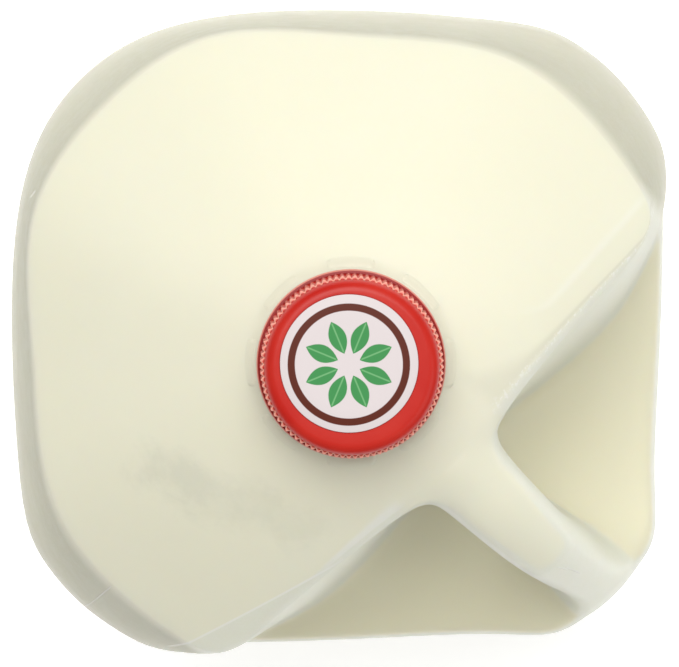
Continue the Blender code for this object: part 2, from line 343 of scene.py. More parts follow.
@dataclass(frozen=True)
class JugWallFinish:
    """Natural polyethylene over milk: cream where it lies flat, with a painted pale grazing sheen
    where it stands steeply, painted shade on its outer flanks and painted highlights along its
    edges.

    A Range field holds where a share is 0 and where it is 1, and its name ends in what is measured.
    """

    flat: Colour = (0.95, 0.93, 0.75)
    grazing_sheen: Colour = (0.89, 0.90, 0.79)
    outer: Colour = (0.67, 0.65, 0.51)
    under: Colour = (0.54, 0.525, 0.40)
    floor: Colour = (0.98, 0.925, 0.67)
    edge_shade: Colour = (0.62, 0.61, 0.50)
    film: Colour = (0.66, 0.66, 0.55)
    highlight_and_scratch_white: Colour = (1.0, 1.0, 0.96)
    cloud: Colour = (0.80, 0.79, 0.66)
    frost: Colour = (0.93, 0.94, 0.86)
    fold_shade: Colour = (0.83, 0.80, 0.60)
    cloud_cover: float = 0.05
    fold_shade_cover: float = 0.12
    edge_shade_cover: float = 0.35
    scratch_shine: float = 0.6
    facet_shine: float = 0.8
    fold_shine: float = 0.3
    bridge_shine: float = 0.8
    speck_shine: float = 0.75
    edge_shine: float = 0.7
    roughness: float = 0.42
    roughness_spread: float = 0.12
    gloss: float = 0.45
    outer_gloss: float = 0.08
    cover: float = 0.62
    steep_facing: Range = (0.62, 0.22)
    wall_towards: Range = (0.52, 0.66)
    grip_out: Range = (48.0, 54.0)
    grip_up: Range = (150.0, 155.0)
    grip_facing: Range = (0.66, 0.52)
    flank_shade_up: Range = (190.0, 179.0)
    shade_deepens_up: Range = (140.0, 182.0)
    behind_out: Range = (25.0, 19.0)
    flank_side: Range = (71.0, 76.0)
    outside_out: Range = (54.0, 36.0)
    lower_up: Range = (122.0, 60.0)
    pocket_near_out: Range = (18.0, 22.0)
    pocket_far_out: Range = (44.0, 41.0)
    pocket_side: Range = (13.0, 18.0)
    pocket_up: Range = (128.0, 140.0)
    floor_up: Range = (150.0, 128.0)
    floor_facing: Range = (0.3, 0.75)
    floor_out: Range = (22.0, 30.0)
    film_middle: Plan = (-28.5, -31.0)
    film_reach: Plan = (24.0, 8.0)
    film_turn: float = -19.0
    film_up: Range = (188.0, 194.0)
    fold_u: float = 23.2
    fold_from: float = 42.0
    fold_bend: float = 0.065
    fold_side: Range = (31.0, 44.0)
    fold_up: Range = (186.0, 190.0)
    facet_from: Plan = (31.0, -34.7)
    facet_slope: float = 0.2415
    facet_end: float = 4.0
    facet_out: Range = (44.0, 40.0)
    facet_up: Range = (160.0, 170.0)
    edge_up: Range = (176.0, 182.0)
    edge_half_side: Range = (-4.0, 4.0)
    edge_bridge_side: Range = (-42.0, -32.0)
    bridge_low_facing: Range = (-0.1, 0.04)
    bridge_high_facing: Range = (0.34, 0.2)
    bridge_near_out: Range = (34.0, 42.0)
    bridge_far_out: Range = (74.0, 66.0)
    bridge_side: Range = (-3.0, -6.0)
    bridge_up: Range = (165.0, 172.0)
    scratch_up: Range = (118.0, 122.0)
    scratches: tuple[tuple[Plan, Plan], ...] = (
        ((47.3, -48.9), (50.8, -50.6)),
        ((49.6, -49.4), (54.4, -52.6)),
        ((-54.1, -54.0), (-61.7, -63.5)),
        ((-36.1, -66.9), (-40.5, -70.0)),
        ((-25.0, -68.6), (-19.5, -70.6)),
        ((-71.5, 36.5), (-73.4, 34.0)),
    )

    def make(self) -> bpy.types.Material:
        """The material of the wall and all that is moulded in one with it.

        Returns:
            The new material.
        """
        board = NodeBoard("natural polyethylene")
        normal_x, normal_y, facing = board.split(board.add("NewGeometry").outputs["Normal"])
        towards = board.times(board.math("SUBTRACT", normal_x, normal_y), math.sqrt(0.5))
        spot = Spot(*self.turned(board, -45.0), facing, towards)
        outer_share = self.outside_share(board, spot)
        in_pocket = self.pocket_share(board, spot)
        facet, facet_line = self.facet_shares(board, spot)
        steepness = board.most(
            board.step(facing, *self.steep_facing),
            board.times(in_pocket, board.step(towards, *self.wall_towards)),
            facet,
            self.grip_share(board, spot),
        )
        outside = board.times(outer_share, steepness)
        inside = board.times(steepness, board.math("SUBTRACT", 1.0, outer_share))
        # Painted warm bounce light on the pocket's floor.
        colour = board.blend(self.floor_share(board, spot), self.flat, self.floor)
        # Painted pale grazing sheen where the wall stands steeply, away from the outer flanks.
        colour = board.blend(inside, colour, self.grazing_sheen)
        # Painted shade on the outer flanks, darkest just under the break line and lighter lower
        # down.
        shaded = board.blend(board.step(spot.up, *self.shade_deepens_up), self.outer, self.under)
        shaded_share = board.times(outside, board.step(spot.up, *self.flank_shade_up))
        colour = board.blend(shaded_share, colour, shaded)
        colour = board.blend(self.film_share(board), colour, self.film)
        cloudy = board.step(board.noise(28.0, 4.0), 0.3, 0.7)
        colour = board.blend(board.times(cloudy, self.cloud_cover), colour, self.cloud)
        fine = board.step(board.noise(1500.0, 2.0, 0.6), 0.38, 0.66)
        speckle = board.times(fine, board.math("MULTIPLY_ADD", inside, 0.3, 0.04))
        colour = board.blend(speckle, colour, self.frost)
        fold, beyond = self.fold_shares(board, spot)
        # Painted shade on the strip where the dome turns down past the fold.
        colour = board.blend(board.times(beyond, self.fold_shade_cover), colour, self.fold_shade)
        dark_line, bright_line = self.edge_shares(board, spot, in_pocket)
        # A thin line of painted shade along the pocket's edge.
        colour = board.blend(board.times(dark_line, self.edge_shade_cover), colour, self.edge_shade)
        scratch = self.scratch_share(board)
        # Painted highlights along the pocket's edge, the painted facet, the fold and the bridge's
        # flank; the scratches are pale marks in the same near-white.
        highlight_and_scratch = board.most(
            bright_line,
            board.times(scratch, self.scratch_shine),
            board.times(facet_line, self.facet_shine),
            board.times(fold, self.fold_shine),
            self.bridge_edge_share(board, spot),
        )
        board.join(board.blend(highlight_and_scratch, colour, self.highlight_and_scratch_white), board.shader.inputs["Base Color"])
        grain = board.step(board.noise(260.0, 5.0, 0.6), 0.3, 0.7)
        smoothest = self.roughness - self.roughness_spread / 2.0
        rough = board.math("MULTIPLY_ADD", grain, self.roughness_spread, smoothest)
        board.join(rough, board.shader.inputs["Roughness"])
        normal = board.bump(board.noise(24.0, 2.0), 0.0012, 0.35)
        normal = board.bump(board.noise(420.0, 3.0), 0.00006, 0.5, normal)
        normal = board.bump(fold, 0.00012, 0.8, normal)
        normal = board.bump(scratch, 0.00025, 0.8, normal)
        board.join(normal, board.shader.inputs["Normal"])
        gloss = board.math("MULTIPLY_ADD", outside, self.outer_gloss - self.gloss, self.gloss)
        board.join(gloss, board.shader.inputs["Specular IOR Level"])
        board.set_shader(metallic=0.0, ior=1.54, alpha=self.cover)
        return board.material

    def outside_share(self, board: NodeBoard, spot: Spot) -> Socket:
        """The outer walls, away from the pocket and the handle.

        Args:
            board: The material's nodes.
            spot: Where the point lies.

        Returns:
            The socket of their share.
        """
        at_back = board.step(spot.out, *self.behind_out)
        at_flank = board.step(board.math("ABSOLUTE", spot.side), *self.flank_side)
        beside = board.times(board.most(at_back, at_flank), board.step(spot.out, *self.outside_out))
        return board.most(beside, board.step(spot.up, *self.lower_up))

    def pocket_share(self, board: NodeBoard, spot: Spot) -> Socket:
        """The pocket's back wall and the dome's edge over it, beside the bridge.

        Args:
            board: The material's nodes.
            spot: Where the point lies.

        Returns:
            The socket of their share.
        """
        return board.times(
            board.step(spot.out, *self.pocket_near_out),
            board.step(spot.out, *self.pocket_far_out),
            board.step(board.math("ABSOLUTE", spot.side), *self.pocket_side),
            board.step(spot.up, *self.pocket_up),
        )

    def grip_share(self, board: NodeBoard, spot: Spot) -> Socket:
        """The handle's upright grip, above its foot.

        Args:
            board: The material's nodes.
            spot: Where the point lies.

        Returns:
            The socket of its share.
        """
        return board.times(
            board.step(spot.out, *self.grip_out),
            board.step(spot.up, *self.grip_up),
            board.step(spot.facing, *self.grip_facing),
        )

    def floor_share(self, board: NodeBoard, spot: Spot) -> Socket:
        """The pocket's floor, painted warmer and brighter for the light that bounces between its
        walls.

        Args:
            board: The material's nodes.
            spot: Where the point lies.

        Returns:
            The socket of its share.
        """
        return board.times(
            board.step(spot.up, *self.floor_up),
            board.step(spot.facing, *self.floor_facing),
            board.step(spot.out, *self.floor_out),
        )

    @staticmethod
    def turned(board: NodeBoard, angle: float, middle: Plan = (0.0, 0.0)) -> list[Socket]:
        """The point on the object in millimetres, along and across a direction in the plan.

        Args:
            board: The material's nodes.
            angle: The direction's angle in degrees.
            middle: The plan point to measure from, in millimetres.

        Returns:
            The sockets of the distance along, the distance across and the height.
        """
        mapping = board.add("Mapping", vector_type="TEXTURE")
        board.join(board.place(), mapping.inputs["Vector"])
        mapping.inputs["Location"].default_value = (middle[0] * MM, middle[1] * MM, 0.0)
        mapping.inputs["Rotation"].default_value = (0.0, 0.0, math.radians(angle))
        mapping.inputs["Scale"].default_value = (MM, MM, MM)
        return board.split(mapping.outputs[0])

    def film_share(self, board: NodeBoard) -> Socket:
        """Where milk has run off the inside of the wall and left a thin mottled film.

        Args:
            board: The material's nodes.

        Returns:
            The socket of the film's share.
        """
        along, across, up = self.turned(board, self.film_turn, self.film_middle)
        along = board.math("DIVIDE", along, self.film_reach[0])
        across = board.math("DIVIDE", across, self.film_reach[1])
        reach = board.reach(board.math("POWER", along, 2.0), across)
        ragged = board.math("ADD", reach, board.times(board.noise(75.0, 5.0, 0.65), 2.4))
        speckle = board.step(board.noise(130.0, 4.0, 0.6), 0.35, 0.65)
        return board.times(
            board.step(ragged, 2.3, 1.5),
            board.step(up, *self.film_up),
            board.math("MULTIPLY_ADD", speckle, 0.25, 0.22),
            board.math("MULTIPLY_ADD", board.step(along, 1.6, -1.0), 0.6, 0.4),
        )

    def fold_shares(self, board: NodeBoard, spot: Spot) -> tuple[Socket, Socket]:
        """The soft fold in the dome along the pocket, a bump with a painted highlight, and the
        strip between it and the pocket, which takes painted shade.

        Args:
            board: The material's nodes.
            spot: Where the point lies.

        Returns:
            The sockets of the fold's height and the strip's share.
        """
        short = board.most(board.math("SUBTRACT", self.fold_from, spot.side), 0.0)
        bend = board.times(board.math("POWER", short, 2.0), self.fold_bend)
        past = board.math("ADD", board.math("SUBTRACT", spot.out, self.fold_u), bend)
        near = board.step(spot.side, *self.fold_side)
        shown = board.times(near, board.step(spot.up, *self.fold_up))
        ridge = board.step(board.math("ABSOLUTE", past), 1.5, 0.0)
        beyond = board.step(past, 0.0, 1.6)
        return board.times(ridge, shown), board.times(beyond, shown)

    def facet_shares(self, board: NodeBoard, spot: Spot) -> tuple[Socket, Socket]:
        """A facet painted at the pocket's edge towards its left end, not modelled: its share takes
        the painted grazing sheen, and the line along it a painted highlight.

        Args:
            board: The material's nodes.
            spot: Where the point lies.

        Returns:
            The sockets of the facet's share and its line's share.
        """
        start_u, start_v = self.facet_from
        line_u = board.math(
            "MULTIPLY_ADD", spot.side, self.facet_slope, start_u - start_v * self.facet_slope
        )
        past = board.math("SUBTRACT", spot.out, line_u)
        near = board.times(
            board.step(spot.side, start_v + self.facet_end, start_v - self.facet_end),
            board.step(spot.up, *self.facet_up),
            board.step(spot.out, *self.facet_out),
        )
        line = board.step(board.math("ABSOLUTE", past), 0.42, 0.1)
        return board.times(board.step(past, -0.3, 0.3), near), board.times(line, near)

    def edge_shares(self, board: NodeBoard, spot: Spot, in_pocket: Socket) -> tuple[Socket, Socket]:
        """Painted lines along the dome's edge over the pocket: a line of painted shade, then a
        painted highlight, sparkling on the right half.

        Args:
            board: The material's nodes.
            spot: Where the point lies.
            in_pocket: The share of the pocket's wall and its edge.

        Returns:
            The sockets of the dark line's share and the bright line's.
        """
        by_edge = board.times(in_pocket, board.step(spot.up, *self.edge_up))
        right = board.step(spot.side, *self.edge_half_side)
        left = board.math("SUBTRACT", 1.0, right)
        towards = spot.towards
        dark = board.times(board.step(towards, 0.42, 0.5), board.step(towards, 0.6, 0.52))
        bright = board.times(board.step(towards, 0.5, 0.58), board.step(towards, 0.76, 0.66))
        specks = board.times(board.step(board.noise(1000.0, 2.0), 0.54, 0.62), self.speck_shine)
        near_bridge = board.times(left, board.step(spot.side, *self.edge_bridge_side))
        amount = board.most(board.times(specks, right), board.times(near_bridge, self.edge_shine))
        return board.times(dark, right, by_edge), board.times(bright, amount, by_edge)

    def bridge_edge_share(self, board: NodeBoard, spot: Spot) -> Socket:
        """The thin painted highlight line low on the bridge's flank.

        Args:
            board: The material's nodes.
            spot: Where the point lies.

        Returns:
            The socket of its share.
        """
        return board.times(
            board.step(spot.facing, *self.bridge_high_facing),
            board.step(spot.facing, *self.bridge_low_facing),
            board.step(spot.out, *self.bridge_near_out),
            board.step(spot.out, *self.bridge_far_out),
            board.step(spot.side, *self.bridge_side),
            board.step(spot.up, *self.bridge_up),
            self.bridge_shine,
        )

    def scratch_share(self, board: NodeBoard) -> Socket:
        """The few short scratches that the jug has.

        Args:
            board: The material's nodes.

        Returns:
            The socket of the scratches' share.
        """
        found = []
        for (x0, y0), (x1, y1) in self.scratches:
            half = math.hypot(x1 - x0, y1 - y0) / 2.0
            middle = ((x0 + x1) / 2.0, (y0 + y1) / 2.0)
            angle = math.degrees(math.atan2(y1 - y0, x1 - x0))
            along, across, up = self.turned(board, angle, middle)
            within = board.step(board.math("ABSOLUTE", along), half, half - 1.0)
            line = board.step(board.math("ABSOLUTE", across), 0.28, 0.08)
            found.append(board.times(within, line, board.step(up, *self.scratch_up)))
        return board.most(*found)


@dataclass(frozen=True)
class MilkFinish:
    """Whole milk, which light enters and leaves again a little further on."""

    colour: Colour = (0.955, 0.94, 0.80)
    deep: Colour = (0.93, 0.91, 0.75)
    scatter: Point = (1.0, 0.75, 0.45)
    scatter_depth: float = 0.003

    def make(self) -> bpy.types.Material:
        """The material of the milk.

        Returns:
            The new material.
        """
        board = NodeBoard("whole milk")
        fat = board.step(board.noise(18.0, 3.0), 0.35, 0.65)
        board.join(board.blend(fat, self.colour, self.deep), board.shader.inputs["Base Color"])
        board.join(board.bump(board.noise(60.0, 2.0), 0.0002, 0.2), board.shader.inputs["Normal"])
        board.set_shader(roughness=0.35, ior=1.35, subsurface_weight=0.6)
        board.set_shader(subsurface_radius=self.scatter, subsurface_scale=self.scatter_depth)
        return board.material


@dataclass(frozen=True)
class CapFinish:
    """Red moulded polyethylene, with painted pale highlights on its rib heads and flange edge and
    painted shade low on the flange and round the label.
    """

    colour: Colour = (0.50, 0.014, 0.008)
    pale: Colour = (0.55, 0.026, 0.015)
    deep: Colour = (0.30, 0.008, 0.005)
    highlight_pink: Colour = (0.86, 0.38, 0.29)
    roughness: float = 0.34
    gloss: float = 0.22
    scatter_share: float = 0.1
    scatter: Point = (1.0, 0.15, 0.1)
    scatter_depth: float = 0.001
    rib_heads: Range = (250.04, 250.36)
    flange_edge: Range = (20.66, 20.8)
    shade_below: Range = (239.6, 238.8)
    label_middle: Plan = (-0.65, 1.0)
    label_radius: float = 15.2
    label_shade: float = 0.35

    def make(self) -> bpy.types.Material:
        """The material of the cap, with painted pale highlights on its rib heads and its flange's
        edge, and painted shade low on the flange and round the label.

        Returns:
            The new material.
        """
        board = NodeBoard("red polyethylene")
        flow = board.step(board.noise(55.0, 4.0), 0.3, 0.7)
        colour = board.blend(flow, self.colour, self.pale)
        along, across, up = board.split(board.place())
        # Painted shade low on the flange.
        low, high = self.shade_below
        colour = board.blend(board.step(up, low * MM, high * MM), colour, self.deep)
        # A painted shadow ring just outside the label's edge.
        x = board.math("SUBTRACT", along, self.label_middle[0] * MM)
        y = board.math("SUBTRACT", across, self.label_middle[1] * MM)
        ends = (self.label_radius + self.label_shade) * MM, self.label_radius * MM
        label_shadow = board.step(board.reach(x, y), *ends)
        colour = board.blend(board.times(label_shadow, 0.8), colour, self.deep)
        # Painted pale pink highlights on the rib heads and the flange's edge.
        heads = self.band(board, up, self.rib_heads)
        inner, outer = self.flange_edge
        edge = board.times(board.step(board.reach(along, across), inner * MM, outer * MM), 0.7)
        colour = board.blend(board.most(heads, edge), colour, self.highlight_pink)
        board.join(colour, board.shader.inputs["Base Color"])
        normal = board.bump(board.noise(900.0, 3.0), 0.00003, 0.5)
        normal = board.bump(board.noise(90.0, 2.0), 0.0002, 0.25, normal)
        board.join(normal, board.shader.inputs["Normal"])
        board.set_shader(ior=1.5, roughness=self.roughness, specular_ior_level=self.gloss)
        board.set_shader(subsurface_weight=self.scatter_share, subsurface_radius=self.scatter)
        board.set_shader(subsurface_scale=self.scatter_depth)
        return board.material

    @staticmethod
    def band(board: NodeBoard, up: Socket, heights: Range, soft: float = 0.05) -> Socket:
        """The share of a band between two heights in millimetres, with soft ends.

        Args:
            board: The material's nodes.
            up: Height in metres.
            heights: The band's two ends in millimetres.
            soft: Half the height over which each end fades.

        Returns:
            The socket of the share.
        """
        low, high = heights
        above = board.step(up, (low - soft) * MM, (low + soft) * MM)
        return board.times(above, board.step(up, (high + soft) * MM, (high - soft) * MM))


@dataclass(frozen=True)
class LabelFinish:
    """White printed paper: a brown ring round a rosette of green leaves."""

    paper: Colour = (0.69, 0.62, 0.615)
    fibre: Colour = (0.62, 0.57, 0.57)
    ring: Colour = (0.105, 0.018, 0.008)
    leaf: Colour = (0.05, 0.265, 0.075)
    vein: Colour = (0.16, 0.42, 0.17)
    radius: float = 15.2
    ring_shares: Range = (0.78, 0.885)
    ring_soft: float = 0.006
    leaves: int = 8
    leaf_middle: float = 0.42
    leaf_half: float = 0.25
    leaf_width: float = 0.125
    middle: Plan = (-0.73, 0.77)

    def make(self) -> bpy.types.Material:
        """The material of the label, drawn from its middle outwards.

        Returns:
            The new material.
        """
        board = NodeBoard("printed label")
        along, across, _ = board.split(board.place())
        x, y = (
            board.math("DIVIDE", board.math("SUBTRACT", place, middle * MM), self.radius * MM)
            for place, middle in zip((along, across), self.middle)
        )
        out = board.reach(x, y)
        inner, outer = self.ring_shares
        in_ring = board.times(
            board.step(out, inner - self.ring_soft, inner + self.ring_soft),
            board.step(out, outer + self.ring_soft, outer - self.ring_soft),
        )
        leaves, veins = self.leaf_shares(board, out, board.math("ARCTAN2", y, x))
        fibre = board.times(board.noise(700.0, 4.0), 0.08)
        colour = board.blend(fibre, self.paper, self.fibre)
        colour = board.blend(in_ring, colour, self.ring)
        colour = board.blend(leaves, colour, self.leaf)
        colour = board.blend(veins, colour, self.vein)
        board.join(colour, board.shader.inputs["Base Color"])
        board.join(board.bump(board.noise(800.0, 3.0), 0.00002, 0.4), board.shader.inputs["Normal"])
        board.set_shader(roughness=0.55, ior=1.45, specular_ior_level=0.25)
        return board.material

    def leaf_shares(
        self,
        board: NodeBoard,
        out: Socket,
        angle: Socket,
    ) -> tuple[Socket, Socket]:
        """Leaves that stand round the middle, each with a paler vein.

        Args:
            board: The material's nodes.
            out: Distance from the middle, as a share of the radius.
            angle: Angle round the middle in radians.

        Returns:
            The sockets of the leaves' share and the veins' share.
        """
        turn = 2.0 * math.pi / self.leaves
        within = board.math("MODULO", board.math("ADD", angle, 8.0 * math.pi), turn)
        local = board.math("SUBTRACT", within, turn / 2.0)
        side = board.times(board.math("SINE", local), out)
        ahead = board.times(board.math("COSINE", local), out)
        along = board.math("SUBTRACT", ahead, self.leaf_middle)
        along = board.math("DIVIDE", along, self.leaf_half)
        narrowing = board.math("SUBTRACT", 1.0, board.math("POWER", along, 2.0))
        widest = board.times(narrowing, self.leaf_width)
        spare = board.math("SUBTRACT", widest, board.math("ABSOLUTE", side))
        leaves = board.step(spare, -0.006, 0.006)
        near_vein = board.step(board.math("ABSOLUTE", side), 0.016, 0.006)
        return leaves, board.times(near_vein, board.step(spare, 0.01, 0.03))


@dataclass(frozen=True)
class FloorFinish:
    """A plain pale studio floor."""

    colour: Colour = (0.93, 0.93, 0.93)
    dull: Colour = (0.88, 0.88, 0.88)
    glow: float = 0.5

    def make(self) -> bpy.types.Material:
        """The material of the floor, which is lit from below a little, as a light table is.

        Returns:
            The new material.
        """
        board = NodeBoard("studio floor")
        fine = board.times(board.noise(40.0, 3.0), 0.02)
        colour = board.blend(fine, self.colour, self.dull)
        board.join(colour, board.shader.inputs["Base Color"])
        board.set_shader(roughness=0.9, emission_color=(1.0, 1.0, 1.0), emission_strength=self.glow)
        return board.material


@dataclass(frozen=True)
class FlankRow:
    """A level of the flanks above the pocket's floor.

    At the bridge and at its end the pocket's back wall has heights of its own.
    """

    at_bridge: float
    at_end: float
    z: float
    share: float


@dataclass(frozen=True)
class TubeRing:
    """A ring of the handle. The turn is the angle that its outer side looks up by."""

    u: float
    z: float
    turn: float
    deep: float
    wide: float

    def points(self) -> list[Point]:
        """Half of the ring, from its inner side over its flank to its outer side.

        Returns:
            The ring's corners.
        """
        out_u, out_z = polar(self.turn, self.deep)
        shares = ((-1.0, 0.0), (-0.82, 0.72), (0.0, 1.08), (0.82, 0.72), (1.0, 0.0))
        return [(self.u + out_u * a, self.wide * b, self.z + out_z * a) for a, b in shares]


class Piece:
    """What every piece of the scene shares: how its mesh becomes an object and is taken on."""

    @staticmethod
    def add(
        name: str, mesh: bpy.types.Mesh, finish: bpy.types.Material, slot: Slot
    ) -> bpy.types.Object:
        """Puts a mesh in the scene as a piece of the jug.

        Args:
            name: Name of the piece.
            mesh: Its mesh, in metres in the shared frame.
            finish: Its material.
            slot: The record's slot that it takes its finish from. It is not used.

        Returns:
            The new object.
        """
        mesh.materials.clear()
        mesh.materials.append(finish)
        made = put_in_scene(name, mesh)
        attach(made, BODY)
        LOG.info("%s: %d faces", name, len(mesh.polygons))
        return made

    @staticmethod
    def mesh_of(bm: bmesh.types.BMesh, name: str, sharp_from: float = 40.0) -> bpy.types.Mesh:
        """Ends a bmesh and makes its mesh, smooth where it turns by less than an angle.

        Args:
            bm: The finished bmesh.
            name: Name of the mesh.
            sharp_from: Smallest angle in degrees that stays sharp.

        Returns:
            The mesh.
        """
        bmesh.ops.recalc_face_normals(bm, faces=bm.faces)
        mesh = bpy.data.meshes.new(name)
        bm.to_mesh(mesh)
        bm.free()
        mesh.shade_smooth()
        mesh.set_sharp_from_angle(angle=math.radians(sharp_from))
        return mesh


@dataclass
class JugForm:
    """The blow-moulded jug: its sizes, the cage of its skin, its wall and the milk in it."""

    side: float = 78.0
    body_plan: tuple[Plan, ...] = (
        (66.5, 82.0),
        (77.0, 88.2),
        (90.0, 90.8),
        (103.0, 88.7),
        (135.0, 78.8),
        (163.0, 86.8),
        (180.0, 89.4),
    )
    bulge_across_x: float = 0.013
    bulge_to: float = 135.0
    near_face_x: float = 77.3
    near_face_taper: float = 0.056
    near_face_taper_from: float = 30.0
    grip_corner: float = 91.2
    grip_face_half: float = 9.5
    chamfer_half: float = 18.0
    chamfer_setback: float = 3.0
    foot_scale: float = 0.985
    foot_ring_inset: float = 9.0
    foot_ring_width: float = 10.0
    push_up: float = 4.5
    push_up_slope: float = 7.0
    push_up_inset: float = 52.0
    break_plan: tuple[Plan, ...] = (
        (66.5, 77.5),
        (75.0, 76.6),
        (90.0, 77.0),
        (109.0, 78.9),
        (135.0, 71.2),
        (158.0, 82.2),
        (180.0, 79.8),
    )
    break_z: float = 187.0
    break_crease: float = 0.5
    dome_top: float = 233.0
    dome_bow: float = 0.3
    dome_rows: tuple[float, ...] = (0.07, 0.32, 0.6, 0.86)
    neck_foot_radius: float = 21.0
    neck_rows: tuple[Plan, ...] = ((19.5, 235.0), (18.0, 238.0), (18.0, 251.5))
    pocket_u: float = 33.5
    pocket_lean_from: float = 195.0
    pocket_lean: tuple[float, ...] = (0.056, 0.08, 0.12, 0.138)
    pocket_sweep: float = 3.0
    pocket_end_v: float = 70.0
    pocket_crease: float = 0.6
    edge_setback: float = 1.2
    edge_roll: float = 2.5
    floor_at_wall: float = 125.0
    floor_at_edge: float = 115.0
    floor_fillet: float = 7.0
    wall: float = 1.0
    milk_inset: float = 0.85
    milk_top: float = 231.0
    levels: int = 3
    pocket_v: tuple[float, ...] = (0.0, 11.0, 31.0, 51.0)
    flanks: tuple[FlankRow, ...] = (
        FlankRow(134.0, 130.0, 134.0, 0.0),
        FlankRow(160.0, 152.0, 154.0, 0.24),
        FlankRow(191.0, 172.0, 174.0, 0.67),
        FlankRow(204.0, 182.0, 184.0, 0.91),
    )
    handle_foot: tuple[Point, ...] = ((57.0, 0.0, 126.0), (59.5, 6.6, 125.0), (73.0, 6.8, 121.0))
    handle: tuple[TubeRing, ...] = (
        TubeRing(73.6, 135.0, 12.0, 13.8, 7.6),
        TubeRing(69.0, 155.0, 14.0, 12.3, 7.8),
        TubeRing(63.8, 175.0, 15.0, 11.8, 8.1),
        TubeRing(58.6, 190.5, 36.0, 11.9, 8.6),
        TubeRing(50.8, 201.0, 64.0, 11.6, 9.1),
        TubeRing(42.0, 207.5, 80.0, 12.0, 9.6),
    )
    handle_crease: float = 0.35
    elbow: int = 3
    elbow_crease: float = 0.7
    foot_crease: float = 0.5
    body_crease: float = 0.3
    skin: bpy.types.Mesh | None = field(default=None, init=False)

    def far_plan(self, share: float, scale: float = 1.0) -> list[Plan]:
        """The columns from the end of the pocket's wall round to the far corner.

        Args:
            share: From 0 for the body's plan to 1 for that of the break line.
            scale: Scale of the plan.

        Returns:
            The columns' places in the plan.
        """
        plan = []
        for low, high in zip(self.body_plan, self.break_plan):
            angle, radius = (start + (end - start) * share for start, end in zip(low, high))
            plan.append(polar(angle, radius * scale))
        return plan

    def rim_radius(self, angle: float) -> float:
        """Radius of the break line at an angle, carried on round the handle corner as an arc.

        Args:
            angle: Angle from the handle corner in degrees.

        Returns:
            The radius in millimetres.
        """
        last_angle, last_radius = self.break_plan[0]
        for next_angle, next_radius in self.break_plan[1:]:
            if angle <= next_angle:
                share = max(0.0, (angle - last_angle) / (next_angle - last_angle))
                return last_radius + (next_radius - last_radius) * share
            last_angle, last_radius = next_angle, next_radius
        return last_radius

    def near_face(self, y: float, scale: float) -> Plan:
        """A point of the flat side that the pocket opens through, which draws in to the handle."""
        x = self.near_face_x - self.near_face_taper * max(0.0, self.near_face_taper_from - y)
        return scale * (x - y) / math.sqrt(2.0), scale * (x + y) / math.sqrt(2.0)

    def lower_ring(self, z: float, scale: float, inset: float = 0.0) -> list[Point]:
        """Half of a level ring below the pocket, from the handle corner round to the far corner.

        Args:
            z: Height of the ring.
            scale: Scale of the plan.
            inset: How far the flat sides lie inside the plan.

        Returns:
            The ring's corners.
        """
        near = [
            (scale * self.grip_corner, 0.0),
            (scale * (self.grip_corner - 0.5), self.grip_face_half),
            (scale * (self.grip_corner - self.chamfer_setback), self.chamfer_half),
            self.near_face(-36.0, scale),
            self.near_face(-6.0, scale),
        ]
        keep = 1.0 - inset / self.side
        plan = near + self.far_plan(0.0, scale)
        return [(u * keep, v * keep, z) for u, v in plan]

    def wall_u(self, v: float, z: float) -> float:
        """The pocket's back wall leans back as it rises, least behind the handle.

        Args:
            v: The column's place, one of pocket_v.
            z: Height.

        Returns:
            The wall's distance towards the handle corner.
        """
        column = self.pocket_v.index(v)
        lean = self.pocket_lean[column] * (self.pocket_lean_from - z)
        return self.pocket_u + lean - self.pocket_sweep * (v / self.pocket_end_v) ** 2

    def pocket_columns(self, at_bridge: float, at_end: float) -> list[Point]:
        """The columns of a ring on the pocket's back wall.

        Args:
            at_bridge: Height at the bridge.
            at_end: Height at the wall's end.

        Returns:
            The ring's corners.
        """
        ring = []
        for v in self.pocket_v:
            z = at_bridge + (at_end - at_bridge) * (v / self.pocket_end_v) ** 1.5
            ring.append((self.wall_u(v, z), v, z))
        return ring

    def flank_columns(self, z: float, share: float) -> list[Point]:
        """The columns of a ring on the flanks, all at one height."""
        return [(u, v, z) for u, v in self.far_plan(share)]

    def dome_height(self, u: float, v: float) -> float:
        """Height of the dome over a point of the plan. It falls faster towards the break line.

        Args:
            u: The point's distance towards the handle corner.
            v: Its distance square to that.

        Returns:
            The height.
        """
        rim = self.rim_radius(math.degrees(math.atan2(v, u)))
        share = (math.hypot(u, v) - self.neck_foot_radius) / (rim - self.neck_foot_radius)
        fall = (1.0 - self.dome_bow) * share + self.dome_bow * share * share
        return self.dome_top - (self.dome_top - self.break_z) * fall

    def break_ring(self) -> list[Point]:
        """The ring where the dome turns down into the pocket's wall and the flanks.

        Returns:
            The ring's corners.
        """
        ring = []
        for v in self.pocket_v:
            u = self.pocket_u - self.edge_setback - self.pocket_sweep * (v / self.pocket_end_v) ** 2
            ring.append((u, v, self.dome_height(u, v) - self.edge_roll))
        # The dome runs on over the bridge, so it hardly turns down there.
        ring[0] = (ring[0][0] + 2.0, 0.0, ring[0][2] + 3.0)
        ring[1] = (ring[1][0] + 1.0, 9.0, ring[1][2] + 1.0)
        return ring + self.flank_columns(self.break_z, 1.0)

    def neck_ring(self, radius: float, z: float) -> list[Point]:
        """Half of a level round ring about the neck's axis."""
        count = len(self.pocket_v) + len(self.body_plan)
        return [(*polar(i * 180.0 / (count - 1), radius), z) for i in range(count)]

